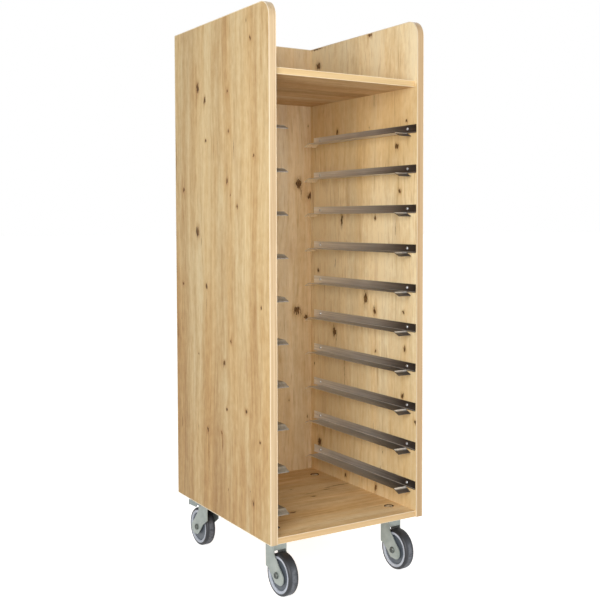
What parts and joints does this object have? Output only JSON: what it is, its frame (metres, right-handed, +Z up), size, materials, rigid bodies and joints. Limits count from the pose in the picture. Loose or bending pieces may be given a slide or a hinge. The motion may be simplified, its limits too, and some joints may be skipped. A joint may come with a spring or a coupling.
{
  "type": "tray clearing trolley",
  "caption": "Tall open-fronted wooden cabinet on swivel casters, with facing pairs of bent metal rails for serving trays and a shelf on top.",
  "frame": {"origin": "on the floor, under the middle of the box around the trolley as it stands", "axes": "+Z up, -Y out of the open front, +X to the right of someone who faces the open front"},
  "size_m": [0.45, 0.5944, 1.455],
  "materials": {
    "oak_board": "light knotty oak decor, matt",
    "edge_banding": "matching oak edge banding, slightly lighter, satin",
    "dowel_wood": "raw beech",
    "rail_steel": "bent stainless sheet with a fine grain along the rail",
    "screw_steel": "bright pan head screws",
    "bolt_steel": "bright zinc-plated bolt",
    "caster_zinc": "pale grey-green plated pressed steel",
    "axle_steel": "dark plated steel",
    "rim_plastic": "light blue-grey moulded plastic",
    "tyre_rubber": "dark grey tread rubber",
    "cover_plastic": "slate moulded plastic",
    "pedal_zinc": "pale grey-green plated pressed steel"
  },
  "bodies": {
    "cabinet": {"left_side_panel": "oak_board", "right_side_panel": "oak_board", "back_panel": "oak_board", "top_shelf": "oak_board", "bottom_shelf": "oak_board", "left_edge_band": "edge_banding", "right_edge_band": "edge_banding", "back_edge_band": "edge_banding", "top_shelf_edge_band": "edge_banding", "bottom_shelf_edge_band": "edge_banding", "panel_dowels": "dowel_wood", "rail_left_01": "rail_steel", "rail_left_02": "rail_steel", "rail_left_03": "rail_steel", "rail_left_04": "rail_steel", "rail_left_05": "rail_steel", "rail_left_06": "rail_steel", "rail_left_07": "rail_steel", "rail_left_08": "rail_steel", "rail_left_09": "rail_steel", "rail_left_10": "rail_steel", "rail_right_01": "rail_steel", "rail_right_02": "rail_steel", "rail_right_03": "rail_steel", "rail_right_04": "rail_steel", "rail_right_05": "rail_steel", "rail_right_06": "rail_steel", "rail_right_07": "rail_steel", "rail_right_08": "rail_steel", "rail_right_09": "rail_steel", "rail_right_10": "rail_steel", "rail_screws": "screw_steel", "caster_bolts": "bolt_steel", "swivel_head_front_left": "caster_zinc", "swivel_head_front_right": "caster_zinc", "swivel_head_rear_left": "caster_zinc", "swivel_head_rear_right": "caster_zinc"},
    "caster_front_left": {"fork_front_left": "caster_zinc", "axle_front_left": "axle_steel"},
    "wheel_front_left": {"rim_front_left": "rim_plastic", "tyre_front_left": "tyre_rubber", "hub_covers_front_left": "cover_plastic"},
    "caster_front_right": {"fork_front_right": "caster_zinc", "axle_front_right": "axle_steel"},
    "wheel_front_right": {"rim_front_right": "rim_plastic", "tyre_front_right": "tyre_rubber", "hub_covers_front_right": "cover_plastic"},
    "caster_rear_left": {"fork_rear_left": "caster_zinc", "axle_rear_left": "axle_steel"},
    "wheel_rear_left": {"rim_rear_left": "rim_plastic", "tyre_rear_left": "tyre_rubber", "hub_covers_rear_left": "cover_plastic"},
    "pedal_rear_left": {"brake_pedal_rear_left": "pedal_zinc"},
    "caster_rear_right": {"fork_rear_right": "caster_zinc", "axle_rear_right": "axle_steel"},
    "wheel_rear_right": {"rim_rear_right": "rim_plastic", "tyre_rear_right": "tyre_rubber", "hub_covers_rear_right": "cover_plastic"},
    "pedal_rear_right": {"brake_pedal_rear_right": "pedal_zinc"}
  },
  "joints": [
    {"name": "swivel_front_left", "type": "hinge", "parent": "cabinet", "child": "caster_front_left", "pos_m": [-0.173, -0.20581, 0.1305], "axis": [0, 0, 1], "continuous": true},
    {"name": "roll_front_left", "type": "hinge", "parent": "caster_front_left", "child": "wheel_front_left", "pos_m": [-0.16973, -0.24317, 0.0535], "axis": [0.9962, 0.0872, 0], "continuous": true},
    {"name": "swivel_front_right", "type": "hinge", "parent": "cabinet", "child": "caster_front_right", "pos_m": [0.173, -0.20581, 0.1305], "axis": [0, 0, 1], "continuous": true},
    {"name": "roll_front_right", "type": "hinge", "parent": "caster_front_right", "child": "wheel_front_right", "pos_m": [0.17627, -0.24317, 0.0535], "axis": [0.9962, 0.0872, 0], "continuous": true},
    {"name": "swivel_rear_left", "type": "hinge", "parent": "cabinet", "child": "caster_rear_left", "pos_m": [-0.173, 0.20019, 0.1305], "axis": [0, 0, 1], "continuous": true},
    {"name": "roll_rear_left", "type": "hinge", "parent": "caster_rear_left", "child": "wheel_rear_left", "pos_m": [-0.17562, 0.2376, 0.0535], "axis": [-0.9976, -0.0698, 0], "continuous": true},
    {"name": "brake_rear_left", "type": "hinge", "parent": "caster_rear_left", "child": "pedal_rear_left", "pos_m": [-0.17426, 0.21814, 0.12], "axis": [-0.9976, -0.0698, 0], "range_deg": [0, 12]},
    {"name": "swivel_rear_right", "type": "hinge", "parent": "cabinet", "child": "caster_rear_right", "pos_m": [0.173, 0.20019, 0.1305], "axis": [0, 0, 1], "continuous": true},
    {"name": "roll_rear_right", "type": "hinge", "parent": "caster_rear_right", "child": "wheel_rear_right", "pos_m": [0.17038, 0.2376, 0.0535], "axis": [-0.9976, -0.0698, 0], "continuous": true},
    {"name": "brake_rear_right", "type": "hinge", "parent": "caster_rear_right", "child": "pedal_rear_right", "pos_m": [0.17174, 0.21814, 0.12], "axis": [-0.9976, -0.0698, 0], "range_deg": [0, 12]}
  ]
}
